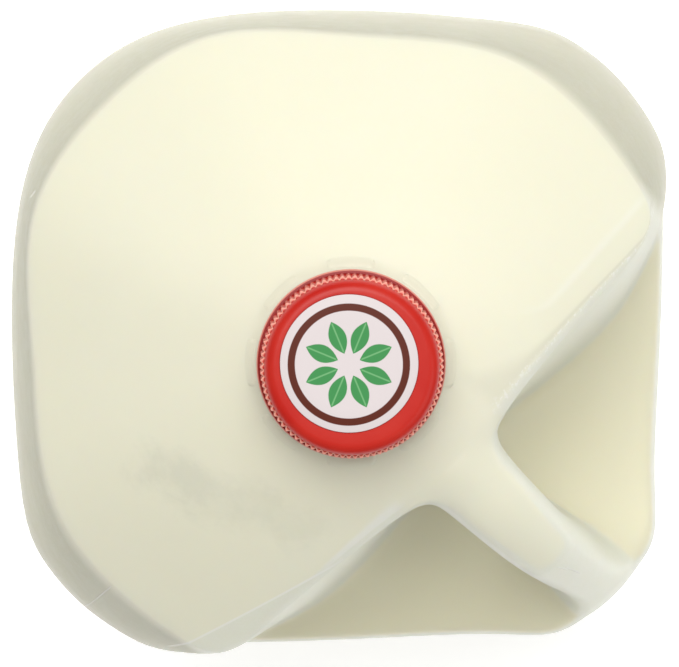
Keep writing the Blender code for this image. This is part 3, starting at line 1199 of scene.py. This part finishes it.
    def dome_ring(self, share: float) -> list[Point]:
        """A ring of the dome, a share of the way from the break ring to the neck's foot.

        Args:
            share: How far along that way the ring lies.

        Returns:
            The ring's corners.
        """
        ring = []
        feet = self.neck_ring(self.neck_foot_radius, self.dome_top)
        for (u, v, _), (foot_u, foot_v, _) in zip(self.break_ring(), feet):
            u += (foot_u - u) * share
            v += (foot_v - v) * share
            ring.append((u, v, self.dome_height(u, v)))
        return ring

    @staticmethod
    def row(bm: bmesh.types.BMesh, points: list[Point] | tuple[Point, ...]) -> list[Vert]:
        """Adds a row of corners at points in millimetres."""
        return [bm.verts.new(Vector(point) * MM) for point in points]

    @staticmethod
    def join_rows(bm: bmesh.types.BMesh, rows: list[list[Vert]]) -> None:
        """Joins each row of corners to the next with quads.

        Args:
            bm: The cage.
            rows: The rows, all of one length.
        """
        for lower, upper in zip(rows, rows[1:]):
            for a, b, c, d in zip(lower, lower[1:], upper[1:], upper):
                bm.faces.new((a, b, c, d))

    @staticmethod
    def crease(bm: bmesh.types.BMesh, row: list[Vert], amount: float) -> None:
        """Keeps the turn along a row of corners tight when the cage is subdivided.

        Args:
            bm: The cage.
            row: The corners, in order.
            amount: How tight, from 0 to 1.
        """
        layer = bm.edges.layers.float.get("crease_edge")
        if layer is None:
            layer = bm.edges.layers.float.new("crease_edge")
        for a, b in zip(row, row[1:]):
            bm.edges.get((a, b))[layer] = amount

    def add_lower_body(self, bm: bmesh.types.BMesh) -> list[Vert]:
        """The foot and the walls up to the pocket's floor.

        Args:
            bm: The cage.

        Returns:
            The top row of corners.
        """
        ring_inner = self.foot_ring_inset + self.foot_ring_width
        rings = (
            (self.push_up, self.foot_scale, self.push_up_inset),
            (self.push_up, self.foot_scale, ring_inner + self.push_up_slope),
            (0.0, self.foot_scale, ring_inner),
            (0.0, self.foot_scale, self.foot_ring_inset),
            (3.5, self.foot_scale, 1.5),
            (12.0, self.foot_scale, 0.0),
            (55.0, 0.995, 0.0),
            (95.0, 1.0, 0.0),
            (self.floor_at_edge, 1.0, 0.0),
        )
        rows = [self.row(bm, self.lower_ring(*ring)) for ring in rings]
        self.join_rows(bm, rows)
        bm.faces.new(rows[0])
        self.crease(bm, rows[2], 1.0)
        self.crease(bm, rows[3], 1.0)
        return rows[-1]

    def add_upper_body(
        self,
        bm: bmesh.types.BMesh,
        lower_top: list[Vert],
    ) -> list[list[Vert]]:
        """The flanks, the pocket's wall, the dome and the neck.

        Args:
            bm: The cage.
            lower_top: The top row of the lower body.

        Returns:
            The rows up to the break line.
        """
        foot = self.row(bm, self.pocket_columns(self.floor_at_wall, self.floor_at_edge + 1.0))
        rows = [foot + lower_top[-len(self.body_plan) :]]
        for flank in self.flanks:
            pocket = self.pocket_columns(flank.at_bridge, flank.at_end)
            rows.append(self.row(bm, pocket + self.flank_columns(flank.z, flank.share)))
        rows.append(self.row(bm, self.break_ring()))
        dome = [self.row(bm, self.dome_ring(share)) for share in self.dome_rows]
        neck = [self.row(bm, self.neck_ring(radius, z)) for radius, z in self.neck_rows]
        self.join_rows(bm, rows + dome + neck)
        # The corners beside the handle's have crisp turns. The far corner is softer.
        for column in (len(self.pocket_v) + 1, len(self.pocket_v) + 3):
            self.crease(bm, [row[column] for row in rows[:3]], self.body_crease)
        self.crease(bm, rows[-1][len(self.pocket_v) :], self.break_crease)
        self.crease(bm, rows[-1][1 : len(self.pocket_v) + 1], self.pocket_crease)
        return rows

    @staticmethod
    def open_for_bridge(
        bm: bmesh.types.BMesh,
        rows: list[list[Vert]],
    ) -> list[Vert]:
        """Takes out the faces of the wall where the handle's bridge leaves it.

        Args:
            bm: The cage.
            rows: The rows up to the break line.

        Returns:
            The rim of the hole.
        """
        low, middle, high = rows[3], rows[4], rows[5]
        rim = [low[0], low[1], middle[1], high[1], high[0]]
        inside = [face for face in bm.faces if set(face.verts) <= {*rim, middle[0]}]
        bmesh.ops.delete(bm, geom=inside, context="FACES_ONLY")
        bmesh.ops.delete(bm, geom=[middle[0]], context="VERTS")
        return rim

    def add_handle(
        self,
        bm: bmesh.types.BMesh,
        lower_top: list[Vert],
        rim: list[Vert],
    ) -> list[Vert]:
        """The hollow handle, from the pocket's floor up and over to the wall.

        Args:
            bm: The cage.
            lower_top: The top row of the lower body.
            rim: The rim that the bridge ends in.

        Returns:
            The corners of its foot on the floor.
        """
        foot = self.row(bm, self.handle_foot)
        rings = [self.row(bm, ring.points()) for ring in self.handle]
        self.join_rows(bm, [foot + [lower_top[1], lower_top[0]]] + rings + [rim])
        self.crease(bm, [lower_top[1]] + [ring[3] for ring in rings] + [rim[3]], self.handle_crease)
        self.crease(bm, rings[self.elbow][3:], self.elbow_crease)
        self.crease(bm, foot, self.foot_crease)
        return foot

    def add_floor(
        self,
        bm: bmesh.types.BMesh,
        lower_top: list[Vert],
        wall_foot: list[Vert],
        handle_foot: list[Vert],
    ) -> None:
        """The pocket's floor, rounded into what stands round it.

        Args:
            bm: The cage.
            lower_top: The top row of the lower body.
            wall_foot: The lowest row of the pocket's wall and the flanks.
            handle_foot: The corners of the handle's foot.
        """
        bm.faces.new((wall_foot[0], handle_foot[0], handle_foot[1], wall_foot[1]))
        open_side = [lower_top[i] for i in (5, 4, 3, 2, 1)]
        around = wall_foot[1 : len(self.pocket_v)] + open_side + [handle_foot[2], handle_foot[1]]
        centre = sum((corner.co for corner in around), Vector()) / len(around)
        inner = []
        for corner in around:
            inwards = centre - corner.co
            inwards *= min(self.floor_fillet * MM / inwards.length, 0.5)
            inner.append(bm.verts.new(corner.co + inwards))
        for i, corner in enumerate(around):
            j = (i + 1) % len(around)
            bm.faces.new((corner, around[j], inner[j], inner[i]))
        bm.faces.new(inner)

    def cage(self) -> bmesh.types.BMesh:
        """Both halves of the cage, turned so that the flat sides face X and Y.

        Returns:
            The cage.
        """
        bm = bmesh.new()
        lower_top = self.add_lower_body(bm)
        rows = self.add_upper_body(bm, lower_top)
        rim = self.open_for_bridge(bm, rows)
        handle_foot = self.add_handle(bm, lower_top, rim)
        self.add_floor(bm, lower_top, rows[0], handle_foot)
        everything = bm.verts[:] + bm.edges[:] + bm.faces[:]
        bmesh.ops.mirror(bm, geom=everything, axis="Y", merge_dist=1e-6)
        bmesh.ops.recalc_face_normals(bm, faces=bm.faces)
        bmesh.ops.rotate(bm, verts=bm.verts, matrix=Matrix.Rotation(math.radians(-45.0), 3, "Z"))
        # The full jug bulges a little more across X than across Y, up to its shoulder.
        for corner in bm.verts:
            share = smooth_step(self.break_z, self.bulge_to, corner.co.z / MM)
            corner.co.x *= 1.0 + self.bulge_across_x * share
            corner.co.y *= 1.0 - self.bulge_across_x * share
        return bm

    def make_skin(self) -> bpy.types.Mesh:
        """The jug's outer skin: the cage subdivided.

        Returns:
            The skin's mesh, which the wall and the milk are both made from.
        """
        mesh = bpy.data.meshes.new("skin cage")
        bm = self.cage()
        bm.to_mesh(mesh)
        bm.free()
        guide = put_in_scene("skin guide", mesh)
        smooth = guide.modifiers.new("Subdivision", "SUBSURF")
        smooth.levels = self.levels
        smooth.render_levels = self.levels
        graph = bpy.context.evaluated_depsgraph_get()
        self.skin = bpy.data.meshes.new_from_object(guide.evaluated_get(graph))
        bpy.data.objects.remove(guide, do_unlink=True)
        bpy.data.meshes.remove(mesh)
        return self.skin

    def build_wall(self, finish: bpy.types.Material) -> bpy.types.Object:
        """The jug's wall, which replaces its solid.

        Args:
            finish: The wall's material.

        Returns:
            The new piece.
        """
        mesh = self.skin.copy()
        mesh.name = "jug wall"
        mesh.shade_smooth()
        wall = Piece.add("jug_wall", mesh, finish, Slot.JUG)
        thick = wall.modifiers.new("Wall", "SOLIDIFY")
        thick.thickness = self.wall * MM
        thick.offset = -1.0
        thick.use_even_offset = True
        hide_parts("jug")
        return wall

    def build_milk(self, finish: bpy.types.Material) -> bpy.types.Object:
        """The milk, which reaches just into the wall and is level on top.

        Args:
            finish: The milk's material.

        Returns:
            The new piece.
        """
        bm = bmesh.new()
        bm.from_mesh(self.skin)
        bm.normal_update()
        depth = self.milk_inset * MM
        places = [corner.co - corner.normal * depth for corner in bm.verts]
        for corner, place in zip(bm.verts, places):
            corner.co = place
        everything = bm.verts[:] + bm.edges[:] + bm.faces[:]
        level = Vector((0.0, 0.0, self.milk_top * MM))
        bmesh.ops.bisect_plane(
            bm, geom=everything, plane_co=level, plane_no=(0.0, 0.0, 1.0), clear_outer=True
        )
        bmesh.ops.contextual_create(bm, geom=[edge for edge in bm.edges if edge.is_boundary])
        milk = Piece.add("milk_body", Piece.mesh_of(bm, "milk body"), finish, Slot.MILK)
        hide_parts("milk")
        return milk


class Turned:
    """Closed rings of corners about the neck's axis, joined one to the next."""

    def __init__(self, count: int) -> None:
        """Starts with no ring.

        Args:
            count: Number of corners in each ring.
        """
        self.bm = bmesh.new()
        self.count = count
        self.rings: list[list[Vert]] = []

    def ring(self, radii: list[float] | float, z: float) -> None:
        """Adds a level ring and joins it to the last one.

        Args:
            radii: The radius of each corner, or one for all, in millimetres.
            z: Height in millimetres.
        """
        if isinstance(radii, (int, float)):
            radii = [float(radii)] * self.count
        made = []
        for i, radius in enumerate(radii):
            made.append(self.bm.verts.new(Vector((*polar(360.0 * i / self.count, radius), z)) * MM))
        if self.rings:
            self.join(self.rings[-1], made)
        self.rings.append(made)

    def join(self, lower: list[Vert], upper: list[Vert]) -> None:
        """Joins two rings with quads.

        Args:
            lower: The first ring.
            upper: The second ring.
        """
        for i in range(self.count):
            j = (i + 1) % self.count
            self.bm.faces.new((lower[i], lower[j], upper[j], upper[i]))

    def close(self, ends: bool = False) -> None:
        """Joins the last ring to the first, or puts a flat face on each of the two.

        Args:
            ends: Whether the two get flat faces.
        """
        first, last = self.rings[0], self.rings[-1]
        if ends:
            self.bm.faces.new(first)
            self.bm.faces.new(last)
        else:
            self.join(last, first)


@dataclass
class NeckCollar:
    """The low collar of eight rounded lobes at the neck's foot, under the cap."""

    lobes: int = 8
    lobe_half: float = 16.0
    lobe_radius: float = 22.9
    between_radius: float = 20.6
    top: float = 233.45
    foot: float = 231.0
    inner_radius: float = 18.4
    corners: int = 288
    lobe_soft: float = 5.0
    profile: tuple[Plan, ...] = ((-1.6, 0.0), (-1.1, 0.1), (-0.6, 0.35), (0.0, 0.85), (0.6, 1.5))

    def outline(self, grow: float) -> list[float]:
        """The collar's radius at each corner.

        Args:
            grow: How far the outline is moved outwards.

        Returns:
            The radii in millimetres.
        """
        radii = []
        pitch = 360.0 / self.lobes
        for i in range(self.corners):
            from_middle = abs((360.0 * i / self.corners + pitch / 2.0) % pitch - pitch / 2.0)
            ends = self.lobe_half + self.lobe_soft, self.lobe_half - self.lobe_soft
            share = smooth_step(*ends, from_middle)
            lobe = (self.lobe_radius - self.between_radius) * share
            radii.append(self.between_radius + lobe + grow)
        return radii

    def build(self, finish: bpy.types.Material) -> bpy.types.Object:
        """The collar, sunk a little into the dome that it is moulded on.

        Args:
            finish: The jug wall's material.

        Returns:
            The new piece.
        """
        shape = Turned(self.corners)
        shape.ring(self.inner_radius, self.foot)
        shape.ring(self.inner_radius, self.top)
        for grow, drop in self.profile:
            shape.ring(self.outline(grow), self.top - drop)
        shape.ring(self.outline(self.profile[-1][0]), self.foot)
        shape.close()
        return Piece.add("neck_collar", Piece.mesh_of(shape.bm, "neck collar"), finish, Slot.JUG)


@dataclass
class ScrewCap:
    """The red cap: a flange, a skirt of fine upright ribs, and a top with a well rounded edge."""

    ribs: int = 90
    corners_per_rib: int = 8
    rib_radius: float = 20.25
    rib_depth: float = 0.62
    ribs_from: float = 239.3
    ribs_to: float = 250.3
    flange_radius: float = 21.0
    flange_foot: float = 236.8
    flange_thickness: float = 1.8
    shoulder_radius: float = 19.35
    edge: float = 2.6
    top: float = 253.5
    bore: float = 18.8
    roof: float = 1.6
    flange_low: tuple[Plan, ...] = ((0.3, 0.0), (0.08, 0.1), (0.0, 0.35))
    flange_high: tuple[Plan, ...] = ((0.0, 0.3), (0.1, 0.08), (0.3, 0.0))
    rib_head: tuple[Plan, ...] = ((0.0, -0.3), (-0.08, -0.12), (-0.26, 0.0), (-0.36, 0.03))
    edge_steps: int = 10
    top_radii: tuple[float, ...] = (15.6, 9.0, 1.0)

    def ribbed(self, grow: float, depth_share: float) -> list[float]:
        """The skirt's radius at each corner.

        Args:
            grow: How far the whole outline is moved outwards.
            depth_share: Share of the ribs' full depth.

        Returns:
            The radii in millimetres.
        """
        radii = []
        for i in range(self.ribs * self.corners_per_rib):
            wave = math.cos(2.0 * math.pi * i / self.corners_per_rib)
            # Ribs are broad and rounded, grooves narrow.
            dip = self.rib_depth * depth_share * (0.5 - 0.5 * wave) ** 1.4
            radii.append(self.rib_radius + grow - dip)
        return radii

    def build(self, finish: bpy.types.Material) -> bpy.types.Object:
        """The cap, which replaces its solid.

        Args:
            finish: The cap's material.

        Returns:
            The new piece.
        """
        shape = Turned(self.ribs * self.corners_per_rib)
        flange_top = self.flange_foot + self.flange_thickness
        shape.ring(self.bore, self.flange_foot)
        for inset, rise in self.flange_low:
            shape.ring(self.flange_radius - inset, self.flange_foot + rise)
        for inset, drop in self.flange_high:
            shape.ring(self.flange_radius - inset, flange_top - drop)
        shape.ring(self.rib_radius - 0.1, flange_top + 0.05)
        shape.ring(self.ribbed(-0.1, 0.2), self.ribs_from - 0.3)
        shape.ring(self.ribbed(0.0, 1.0), self.ribs_from + 0.2)
        for grow, rise in self.rib_head:
            shape.ring(self.ribbed(grow, 1.0), self.ribs_to + rise)
        shape.ring(self.shoulder_radius, self.ribs_to + 0.12)
        shape.ring(self.shoulder_radius - 0.02, self.ribs_to + 0.25)
        for step in range(self.edge_steps + 1):
            across, up = polar(90.0 * step / self.edge_steps, self.edge)
            shape.ring(self.shoulder_radius - self.edge + across, self.top - self.edge + up)
        for radius in self.top_radii:
            shape.ring(radius, self.top)
        shape.bm.faces.new(shape.rings[-1])
        # The inside starts from the first ring again.
        shape.rings = shape.rings[:1]
        shape.ring(self.bore, self.top - self.roof)
        shape.bm.faces.new(shape.rings[-1])
        cap = Piece.add("screw_cap", Piece.mesh_of(shape.bm, "screw cap", 50.0), finish, Slot.CAP)
        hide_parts("cap")
        return cap


@dataclass
class CapLabel:
    """The round paper label on the cap, a little off its middle."""

    radius: float = 15.2
    thickness: float = 0.25
    top: float = 253.8
    middle: Plan = (-0.65, 1.0)
    rim: tuple[Plan, ...] = ((0.0, 0.1), (0.03, 0.03), (0.1, 0.0))
    hub: float = 1.0
    corners: int = 192

    def build(self, finish: bpy.types.Material) -> bpy.types.Object:
        """The label, with a softly rounded rim. It replaces its solid.

        Args:
            finish: The label's material.

        Returns:
            The new piece.
        """
        shape = Turned(self.corners)
        foot = self.top - self.thickness
        shape.ring(self.hub, foot)
        shape.ring(self.radius - 0.1, foot)
        shape.ring(self.radius, foot + 0.08)
        for inset, drop in self.rim:
            shape.ring(self.radius - inset, self.top - drop)
        for radius in (self.radius * 0.66, self.radius * 0.33, self.hub):
            shape.ring(radius, self.top)
        shape.close(ends=True)
        bmesh.ops.translate(shape.bm, verts=shape.bm.verts, vec=Vector((*self.middle, 0.0)) * MM)
        label = Piece.add("round_label", Piece.mesh_of(shape.bm, "round label"), finish, Slot.LABEL)
        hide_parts("cap_label")
        return label


@dataclass
class Studio:
    """The floor, the lights and the camera."""

    camera_place: Point = (-0.023, 0.095, 1.82)
    camera_target: Point = (-0.00125, 0.00099, 0.135)
    pixels_per_metre: float = 4235.0
    image_width: int = 679
    sensor: float = 36.0
    floor_half: float = 3.0
    surround_foot: float = 0.16
    surround_top: float = 0.44
    soft_boxes: tuple[tuple[str, Point, float, float], ...] = (
        ("overhead", (-0.16, 0.92, 2.32), 1.5, 47.0),
        ("fill", (1.15, -0.5, 1.45), 1.0, 5.5),
    )

    def build_camera(self) -> None:
        """The camera, straight above as near as makes no difference, with the image's top to +Y."""
        data = bpy.data.cameras.new("camera")
        camera = put_in_scene("camera", data)
        place, target = Vector(self.camera_place), Vector(self.camera_target)
        back = (place - target).normalized()
        right = Vector((0.0, 1.0, 0.0)).cross(back).normalized()
        up = back.cross(right)
        turned = Matrix((right, up, back)).transposed().to_4x4()
        camera.matrix_world = Matrix.Translation(place) @ turned
        distance = (place - target).length
        data.sensor_width = self.sensor
        data.lens = self.pixels_per_metre * distance / self.image_width * self.sensor
        data.clip_end = 20.0
        bpy.context.scene.camera = camera

    def build_floor(self, finish: bpy.types.Material) -> None:
        """The floor that the jug stands on.

        Args:
            finish: The floor's material.
        """
        bm = bmesh.new()
        bmesh.ops.create_grid(bm, x_segments=8, y_segments=8, size=self.floor_half)
        bmesh.ops.translate(bm, verts=bm.verts, vec=(0.0, 0.0, -0.0002))
        mesh = Piece.mesh_of(bm, "floor")
        mesh.materials.append(finish)
        put_in_scene("floor", mesh)

    @staticmethod
    def add_soft_box(name: str, place: Point, size: float, power: float) -> None:
        """A square soft light that faces the jug.

        Args:
            name: Name of the light.
            place: Its place in metres.
            size: Its side in metres.
            power: Its power in watts.
        """
        data = bpy.data.lights.new(name, "AREA")
        data.shape = "SQUARE"
        data.size = size
        data.energy = power
        light = put_in_scene(name, data)
        light.location = place
        towards = Vector((0.0, 0.0, 0.15)) - Vector(place)
        light.rotation_euler = towards.to_track_quat("-Z", "Y").to_euler()

    def build_lights(self) -> None:
        """A large soft light above, a weak one over the handle, and the surround."""
        for soft_box in self.soft_boxes:
            self.add_soft_box(*soft_box)
        world = bpy.data.worlds.new("surround")
        world.use_nodes = True
        tree = world.node_tree
        background = tree.nodes["Background"]
        background.inputs["Color"].default_value = (1.0, 1.0, 1.0, 1.0)
        parts = tree.nodes.new("ShaderNodeSeparateXYZ")
        tree.links.new(tree.nodes.new("ShaderNodeTexCoord").outputs["Generated"], parts.inputs[0])
        spread = tree.nodes.new("ShaderNodeMapRange")
        tree.links.new(parts.outputs[2], spread.inputs["Value"])
        spread.inputs["To Min"].default_value = self.surround_foot
        spread.inputs["To Max"].default_value = self.surround_top
        tree.links.new(spread.outputs["Result"], background.inputs["Strength"])
        bpy.context.scene.world = world
        bpy.context.scene.view_settings.view_transform = "Standard"
        bpy.context.scene.cycles.use_denoising = True

    def build(self) -> None:
        """Everything round the jug."""
        self.build_camera()
        self.build_floor(FloorFinish().make())
        self.build_lights()


def main() -> None:
    """Builds the jug from its wall to its label, then the studio."""
    logging.basicConfig(level=logging.INFO, format="%(name)s: %(message)s")
    wall_finish = JugWallFinish().make()
    form = JugForm()
    form.make_skin()
    form.build_wall(wall_finish)
    form.build_milk(MilkFinish().make())
    NeckCollar().build(wall_finish)
    ScrewCap().build(CapFinish().make())
    CapLabel().build(LabelFinish().make())
    Studio().build()


if __name__ == "__main__":
    main()
